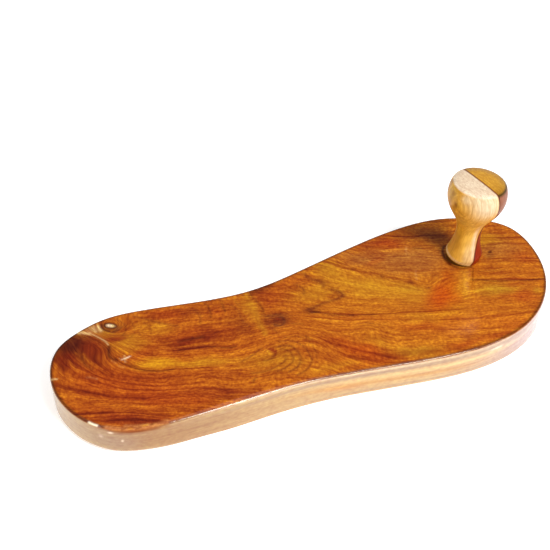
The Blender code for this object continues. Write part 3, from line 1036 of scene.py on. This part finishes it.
def finish_wood(tree, shader, colour, shade, powers, relief):
    """Darkens the colour by the shade, by its own power in red, green and blue, and adds its relief."""
    darker = [add(tree, MATHS, shade, power, operation="POWER") for power in powers]
    shaded = add(tree, VECTOR, colour, add(tree, "ShaderNodeCombineXYZ", *darker), operation="MULTIPLY")
    tree.links.new(shaded, shader.inputs["Base Color"])
    grooves = {"Strength": relief, "Distance": RELIEF_DEPTH, "Height": shade}
    tree.links.new(add(tree, "ShaderNodeBump", sockets=grooves), shader.inputs["Normal"])
    shader.inputs["Roughness"].default_value = 0.5
    shader.inputs["Specular IOR Level"].default_value = 0.1
    shader.inputs["Coat IOR"].default_value = 1.45


# %% The board's material
def fibre_vector(tree, ring, run, across, turn=GRAIN_TURN):
    """Coordinates along the grain and across the rings, in units of the given millimetres."""
    place = add(tree, "ShaderNodeTexCoord", pick=3)
    turned = add(tree, "ShaderNodeVectorRotate", place, rotation_type="Z_AXIS", sockets={"Angle": -turn})
    along = add(tree, MATHS, add(tree, SPLIT, turned), 1.0 / (run * MM), operation="MULTIPLY")
    side = add(tree, MATHS, ring, 1.0 / across, operation="MULTIPLY")
    return add(tree, "ShaderNodeCombineXYZ", along, side)


def heartwood_material():
    """Brown wood whose figure follows the rings on top and lies in flat streaks on the wall."""
    material = bpy.data.materials.new("lacquered heartwood")
    material.use_nodes = True
    tree = material.node_tree
    shader = tree.nodes["Principled BSDF"]
    fields = {}
    for name in ("ring", "line", "wall", "bare", "rubbed"):
        fields[name] = add(tree, "ShaderNodeAttribute", attribute_name=name, pick=2)
    ring = fields["ring"]
    colour = add(tree, "ShaderNodeAttribute", attribute_name="clouds")
    place = add(tree, "ShaderNodeTexCoord", pick=3)
    # The rings waver by up to 0.8 mm, as no trunk grows perfectly evenly
    waver = add(tree, NOISE, fibre_vector(tree, ring, 16.0, 5.0), sockets={"Scale": 1.0, "Detail": 3.0})
    waver = add(tree, RANGE, waver, 0.2, 0.8, -0.8, 0.8)
    ring = add(tree, MATHS, ring, waver, operation="ADD")
    # Columns: run along the grain and width across it in millimetres, detail, darkest and lightest
    figure = [
        (110.0, 3.4, 3.0, 0.68, 1.50),
        (36.0, 1.3, 2.0, 0.74, 1.20),
        (9.0, 0.45, 2.0, 0.66, 1.28),
        (1.5, 1.1, 3.0, 0.58, 1.42),
        (7.0, 2.8, 4.0, 0.66, 1.34),
    ]
    shade = shade_layers(tree, [(fibre_vector(tree, ring, *row[:2]), *row[2:]) for row in figure])
    # Pores: short dark dashes where a noise peaks, 5 mm long and a third of a millimetre wide
    pores = add(tree, NOISE, fibre_vector(tree, ring, 5.0, 0.35), sockets={"Scale": 1.0, "Detail": 1.0})
    pores = add(tree, RANGE, pores, 0.6, 0.72, 1.0, 0.55)
    shade = add(tree, MATHS, shade, pores, operation="MULTIPLY")
    # The dark lines themselves
    dark = 0.0
    for name, level, darkness, width, places in GUIDES:
        if darkness == 0.0:
            continue
        away = add(tree, MATHS, ring, level, operation="SUBTRACT")
        away = add(tree, MATHS, away, operation="ABSOLUTE")
        here = add(tree, RANGE, away, 0.0, width, 1.0, 0.0, interpolation_type="SMOOTHSTEP")
        dark = add(tree, MATHS, dark, here, operation="MAXIMUM")
    dark = add(tree, MATHS, dark, fields["line"], operation="MULTIPLY")
    lines = add(tree, RANGE, dark, 0.0, 1.0, 1.0, 0.34)
    shade = add(tree, MATHS, shade, lines, operation="MULTIPLY")
    # The wall shows long flat streaks instead
    layers = []
    # Columns: run along the wall and height in millimetres, darkest and lightest
    for run, height, *shades in [(60.0, 1.8, 0.86, 1.1), (18.0, 0.5, 0.88, 1.08), (2.5, 1.5, 0.84, 1.1)]:
        scales = (1.0 / (run * MM), 1.0 / (run * MM), 1.0 / (height * MM))
        layers.append((add(tree, VECTOR, place, scales, operation="MULTIPLY"), 2.0, *shades))
    streaks = shade_layers(tree, layers)
    # Where a stroke covers the figure, its own colour shows, evenly and a little lighter
    shade = add(tree, MIX, fields["bare"], shade, 1.1)
    shade = add(tree, MIX, fields["wall"], shade, streaks)
    # Darker wood is also redder, so green falls fastest
    finish_wood(tree, shader, colour, shade, powers=(0.70, 1.26, 1.1), relief=0.25)
    # The lacquer itself isn't quite flat: it sags a little over areas of about 6 mm
    sag = add(tree, NOISE, place, sockets={"Scale": 160.0, "Detail": 3.0})
    dips = {"Strength": 0.12, "Distance": 0.5 * MM, "Height": sag}
    tree.links.new(add(tree, "ShaderNodeBump", sockets=dips), shader.inputs["Coat Normal"])
    # A tenth of the lacquer is left where the edge is rubbed
    coat = add(tree, RANGE, fields["rubbed"], 0.0, 1.0, 1.0, 0.1)
    tree.links.new(coat, shader.inputs["Coat Weight"])
    shader.inputs["Coat Roughness"].default_value = 0.12
    return material


board.data.materials.clear()
board.data.materials.append(heartwood_material())
board.name = "sole_board"
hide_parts("sole")
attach(board, "root")

# %% [markdown]
# ## The turned knob
# A lathe makes this piece: every cut across the axis is a circle, so one profile says it all. The
# Geometry Nodes tree below does what the lathe does. It takes a flat grid, wraps one side of it round
# the axis, reads the radius of each row from the profile, and leans the result towards the toes. The
# foot was trimmed flat on the board afterwards, so its rows don't lean.

# %% The knob's profile
# Columns: place, share of the knob's height, share of the head's radius
KNOB_PROFILE = [
    ("foot, trimmed flat on the sole", 0.000, 0.590),
    ("foot rim, lower side", 0.030, 0.608),
    ("foot rim", 0.066, 0.625),
    ("foot rim, upper side", 0.088, 0.604),
    ("foot flare", 0.135, 0.552),
    ("neck, lower", 0.250, 0.463),
    ("neck, upper", 0.375, 0.438),
    ("neck flare", 0.500, 0.541),
    ("head, lower side", 0.600, 0.730),
    ("head, side", 0.700, 0.908),
    ("head, widest", 0.800, 0.992),
    ("head, upper side", 0.885, 0.986),
    ("rim, outer side", 0.940, 0.945),
    ("rim", 0.975, 0.885),
    ("top, outer", 0.990, 0.800),
]
TOP_DOME = [(0.996, 0.560), (0.999, 0.280), (1.0, 0.0)]
PROFILE_STEPS = 10
turned_rows = [(share * KNOB_HEIGHT, radius * HEAD_RADIUS) for place, share, radius in KNOB_PROFILE]
tenon_end = (TENON_SHORT_OF_GROUND - SOLE_THICKNESS - SEAT_GAP) / cos(KNOB_LEAN)
rows = [(tenon_end, 0.0), (tenon_end, TENON_RADIUS), (0.0, TENON_RADIUS)]
rows += [tuple(point) for point in spline(turned_rows, PROFILE_STEPS, closed=False)]
rows += [(share * KNOB_HEIGHT, radius * HEAD_RADIUS) for share, radius in TOP_DOME]
profile_mesh = bpy.data.meshes.new("knob_profile")
profile_places = [(radius, along, 0.0) for along, radius in rows]
profile_mesh.from_pydata(profile_places, [(i, i + 1) for i in range(len(rows) - 1)], [])
profile = bpy.data.objects.new("knob_profile", profile_mesh)
scene.collection.objects.link(profile)
print("profile rows:", len(rows))


# %% The lathe, as a node tree
def lathe_tree():
    """The tree that turns a profile round an axis and leans it."""
    tree = bpy.data.node_groups.new("lathe", "GeometryNodeTree")
    interface = tree.interface
    interface.new_socket("Geometry", in_out="INPUT", socket_type="NodeSocketGeometry")
    interface.new_socket("Profile", in_out="INPUT", socket_type="NodeSocketObject")
    interface.new_socket("Sides", in_out="INPUT", socket_type="NodeSocketInt")
    for name in ("Lean", "Trim height", "Seat gap"):
        interface.new_socket(name, in_out="INPUT", socket_type="NodeSocketFloat")
    interface.new_socket("Standing point", in_out="INPUT", socket_type="NodeSocketVector")
    interface.new_socket("Wood", in_out="INPUT", socket_type="NodeSocketMaterial")
    interface.new_socket("Geometry", in_out="OUTPUT", socket_type="NodeSocketGeometry")
    given = tree.nodes.new("NodeGroupInput").outputs
    lean = given["Lean"]
    shape = add(tree, "GeometryNodeObjectInfo", given["Profile"], transform_space="ORIGINAL", pick=4)
    # One grid column for each side of the turning and one grid row for each row of the profile
    rows_there = add(tree, "GeometryNodeAttributeDomainSize", shape, component="MESH")
    columns = add(tree, MATHS, given["Sides"], 1.0, operation="ADD")
    grid = add(tree, "GeometryNodeMeshGrid", 1.0, 1.0, columns, rows_there)
    place = add(tree, "GeometryNodeInputPosition")
    turn_share = add(tree, MATHS, add(tree, SPLIT, place), 0.5, operation="ADD")
    turn = add(tree, MATHS, turn_share, 2.0 * pi, operation="MULTIPLY")
    row_share = add(tree, MATHS, add(tree, SPLIT, place, pick=1), 0.5, operation="ADD")
    last_row = add(tree, MATHS, rows_there, 1.0, operation="SUBTRACT")
    row = add(tree, MATHS, add(tree, MATHS, row_share, last_row, operation="MULTIPLY"), operation="ROUND")
    found = {"Value": place, "Index": row}
    sample = add(tree, "GeometryNodeSampleIndex", shape, data_type="FLOAT_VECTOR", sockets=found)
    radius = add(tree, SPLIT, sample)
    along = add(tree, SPLIT, sample, pick=1)
    # Rows near the board tilt less, because the foot was trimmed flat
    share = add(tree, "ShaderNodeClamp", add(tree, MATHS, along, given["Trim height"], operation="DIVIDE"))
    tilt = add(tree, MATHS, lean, share, operation="MULTIPLY")
    risen = add(tree, MATHS, along, add(tree, MATHS, lean, operation="COSINE"), operation="MULTIPLY")
    height = add(tree, MATHS, risen, given["Seat gap"], operation="ADD")
    forward = add(tree, MATHS, radius, add(tree, MATHS, turn, operation="COSINE"), operation="MULTIPLY")
    axis_x = add(tree, MATHS, height, add(tree, MATHS, lean, operation="TANGENT"), operation="MULTIPLY")
    level = add(tree, MATHS, forward, add(tree, MATHS, tilt, operation="COSINE"), operation="MULTIPLY")
    drop = add(tree, MATHS, forward, add(tree, MATHS, tilt, operation="SINE"), operation="MULTIPLY")
    x = add(tree, MATHS, axis_x, level, operation="ADD")
    y = add(tree, MATHS, radius, add(tree, MATHS, turn, operation="SINE"), operation="MULTIPLY")
    z = add(tree, MATHS, height, drop, operation="SUBTRACT")
    local = add(tree, "ShaderNodeCombineXYZ", x, y, z)
    final = add(tree, VECTOR, local, given["Standing point"], operation="ADD")
    turned = add(tree, "GeometryNodeSetPosition", grid, sockets={"Position": final})
    closed = add(tree, "GeometryNodeMergeByDistance", turned, sockets={"Distance": 0.002 * MM})
    real = add(tree, "GeometryNodeRealizeInstances", closed)
    finished = add(tree, "GeometryNodeSetMaterial", real, sockets={"Material": given["Wood"]})
    result = tree.nodes.new("NodeGroupOutput")
    tree.links.new(finished, result.inputs["Geometry"])
    return tree


# %% [markdown]
# ## Sapwood and heartwood in one knob
# The knob was turned from a piece with both kinds of wood in it: pale sapwood, and a dark wedge of
# heartwood towards the toes, with a thin dark line where they meet. The border is a growth ring, so
# it is a gently curved sheet through the solid, and the colour comes from each point's distance to it.

# %% The knob's colours
# The border in millimetres: x = offset + across y + rise (z - level) + curve (z - level) squared
BORDER = {"level": 40.0, "offset": 97.82, "across": -0.168, "rise": 0.142, "curve": -0.00499}
WOOD.update({
    "amber": "E2A428",
    "honey": "E6B650",
    "ivory": "E0CEAA",
    "chalk": "F0DCC0",
    "umber": "8A5418",
    "green": "B8943C",
    "flesh": "8E5436",
    "ruby": "962A02",
    "sunny": "DEA536",
    "ginger": "CC801E",
})
# The knob's skin unrolled: x in degrees round it from +X, y in millimetres above the board
SAPWOOD_CLOUDS = [
    ("honey", 245, 14, 35, 16, 0, 0.9),
    ("chalk", 268, 12, 12, 14, 0, 0.7),
    ("honey", 235, 30, 50, 6, 0, 0.5),
    ("honey", 216, 42, 16, 6, 0, 0.7),
    # Painted highlight in part: the head's front, where the lamps fall, is painted pale ivory (this row
    # and the next)
    ("ivory", 258, 43, 34, 9, 0, 1.0),
    ("ivory", 240, 46, 18, 3, 0, 0.8),
    ("green", 178, 44, 20, 4, 0, 0.5),
    ("green", 205, 28, 18, 3, 0, 0.4),
    ("umber", 194, 39, 5, 1.8, 0, 0.8),
    # Painted shade under the head's left side, with brown mottles in it
    ("umber", 202, 32, 14, 1.2, 0, 0.45),
    ("umber", 184, 10, 12, 5, 0, 0.3),
    ("umber", 198, 47.5, 12, 0.5, 2, 0.4),
    ("umber", 229, 41, 1.2, 6, 3, 0.3),
    # Painted shade down the knob's left side, away from the lamps, with brown mottles (this row and the
    # next)
    ("umber", 170, 36, 10, 8, 0, 0.35),
    ("umber", 160, 24, 12, 8, 0, 0.2),
    ("amber", 196, 43, 12, 2.5, 0, 0.4),
    ("green", 190, 17, 16, 6, 0, 0.2),
    ("ivory", 246, 6, 14, 7, 0, 0.4),
    # Painted shade: a dark band down the head's left edge
    ("umber", 148, 39, 8, 12, 0, 0.7),
    # Painted shade under the head's left side, with brown mottles in it (this row and the next)
    ("umber", 187, 34, 5, 4, 20, 0.5),
    ("umber", 205, 35.5, 9, 0.8, -8, 0.5),
    ("umber", 176, 41, 6, 3, 0, 0.3),
    ("amber", 186, 7, 10, 5, 0, 0.8),
    ("ivory", 213, 44.5, 11, 2.6, 0, 0.6),
    ("honey", 163, 43, 10, 4, 0, 0.6),
    ("ginger", 164, 12, 13, 9, 0, 0.6),
]
HEARTWOOD_CLOUDS = [
    ("flesh", 300, 40, 60, 14, 0, 1.0),
    ("ruby", 290, 5, 60, 14, 0, 1.0),
]


def knob_colours(points, base, rows):
    """The colour at each point of the knob, from the table of clouds on its unrolled skin."""
    height = points[:, 2] - SOLE_THICKNESS / MM
    across = points[:, 0] - (KNOB_X / MM + height * tan(KNOB_LEAN))
    turn = np.degrees(np.arctan2(points[:, 1] - KNOB_INWARD / MM, across)) % 360.0
    along = (points[:, 0] - KNOB_X / MM) * sin(KNOB_LEAN) + height * cos(KNOB_LEAN)
    colours = plain(base, len(points))
    lay_clouds(colours, np.column_stack((turn, along)), rows, CLOUD_CRISPNESS)
    return colours, along, turn


def sapwood_material():
    """Pale wood on one side of the border, brown wood on the other, and a dark line between them."""
    material = bpy.data.materials.new("lacquered sapwood")
    material.use_nodes = True
    tree = material.node_tree
    shader = tree.nodes["Principled BSDF"]
    pale = add(tree, "ShaderNodeAttribute", attribute_name="sapwood")
    brown = add(tree, "ShaderNodeAttribute", attribute_name="heartwood")
    place = add(tree, "ShaderNodeTexCoord", pick=3)
    scaled = add(tree, VECTOR, place, operation="SCALE", sockets={"Scale": 1.0 / MM})
    x, y, z = (add(tree, SPLIT, scaled, pick=pick) for pick in range(3))
    rise = add(tree, MATHS, z, BORDER["level"], operation="SUBTRACT")
    square = add(tree, MATHS, rise, rise, operation="MULTIPLY")
    beyond = add(tree, MATHS, x, BORDER["offset"], operation="SUBTRACT")
    for value, factor in ((y, BORDER["across"]), (rise, BORDER["rise"]), (square, BORDER["curve"])):
        beyond = add(tree, MATHS, value, -factor, beyond, operation="MULTIPLY_ADD")
    heart = add(tree, RANGE, beyond, -0.25, 0.25, 0.0, 1.0, interpolation_type="SMOOTHSTEP")
    colour = add(tree, MIX, heart, data_type="RGBA", sockets={"A": pale, "B": brown})
    # Fibres run up the knob, about 0.8 mm apart, with finer ones between them
    layers = []
    # Columns: width and run in millimetres, darkest and lightest
    for width, run, *shades in [(0.8, 22.0, 0.76, 1.12), (0.35, 6.0, 0.84, 1.1), (3.0, 4.0, 0.86, 1.08)]:
        parts = []
        for part, scale in ((beyond, 1.0 / width), (y, 0.4 / width), (z, 1.0 / run)):
            parts.append(add(tree, MATHS, part, scale, operation="MULTIPLY"))
        layers.append((add(tree, "ShaderNodeCombineXYZ", *parts), 2.0, *shades))
    shade = shade_layers(tree, layers)
    # The thin dark line between the two woods
    seam = add(tree, MATHS, beyond, operation="ABSOLUTE")
    seam = add(tree, RANGE, seam, 0.25, 0.75, 0.2, 1.0, interpolation_type="SMOOTHSTEP")
    shade = add(tree, MATHS, shade, seam, operation="MULTIPLY")
    # Dark fibres are yellower here, so blue falls fastest
    finish_wood(tree, shader, colour, shade, powers=(0.7, 1.1, 1.4), relief=0.2)
    shader.inputs["Coat Weight"].default_value = 0.4
    shader.inputs["Coat Roughness"].default_value = 0.25
    return material


# %% Turn the knob
lathe = lathe_tree()
turner = bpy.data.objects.new("turner", bpy.data.meshes.new("turner"))
scene.collection.objects.link(turner)
work = turner.modifiers.new("lathe", "NODES")
work.node_group = lathe
settings = {
    "Profile": profile,
    "Sides": 96,
    "Lean": KNOB_LEAN,
    "Trim height": FOOT_TRIM_HEIGHT,
    "Seat gap": SEAT_GAP,
    "Standing point": (KNOB_X, KNOB_INWARD, SOLE_THICKNESS),
    "Wood": sapwood_material(),
}
for item in lathe.interface.items_tree:
    if item.in_out == "INPUT" and item.name in settings:
        work[item.identifier] = settings[item.name]
knob = bpy.data.objects.new("turned_knob", plain_mesh(turner, "turned_knob"))
scene.collection.objects.link(knob)
bpy.data.objects.remove(turner, do_unlink=True)
bpy.data.objects.remove(profile, do_unlink=True)

# %% Colour the knob
# Where the flat top begins and where its dark edge runs, in millimetres along the axis
TOP_BEGINS = 46.4
TOP_EDGE = 47.0
# The foot's rim, where a painted highlight runs: its height in millimetres at these turns in degrees
RIM_TURNS = (150.0, 164.0, 224.0, 268.0)
RIM_HEIGHTS = (4.1, 3.8, 2.1, 1.4)
points = vertex_places(knob.data)
colours, along, turn = knob_colours(points, "amber", SAPWOOD_CLOUDS)
# The flat top is painted chalky pale, in part a painted highlight of the light from above. A pale line
# along the foot's lowest rim is a painted highlight, and below it a painted shadow darkens the foot
# down to the board
top = np.clip((along - TOP_BEGINS) / 0.6, 0.0, 1.0)
rim_height = np.interp(turn, RIM_TURNS, RIM_HEIGHTS)
blend(colours, "chalk", top)
blend(colours, "pale", 0.95 * np.exp(-((along - rim_height) / 0.7) ** 2))
blend(colours, "painted_foot_shadow", 0.9 * np.clip((rim_height - 0.8 - along) / 0.5, 0.0, 1.0))
store(knob.data, "sapwood", colours)
colours, along, turn = knob_colours(points, "flesh", HEARTWOOD_CLOUDS)
# The heartwood's flat top is painted a lighter gold, in part a painted highlight of the light from above
blend(colours, "sunny", top)
# A dark line follows the edge between the flat top and the side
edge = 0.9 * np.exp(-((along - TOP_EDGE) / 0.65) ** 2)
colours *= (1.0 - edge)[:, None]
store(knob.data, "heartwood", colours)
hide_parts("toe_knob")
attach(knob, "root")
print("knob faces:", len(knob.data.polygons))
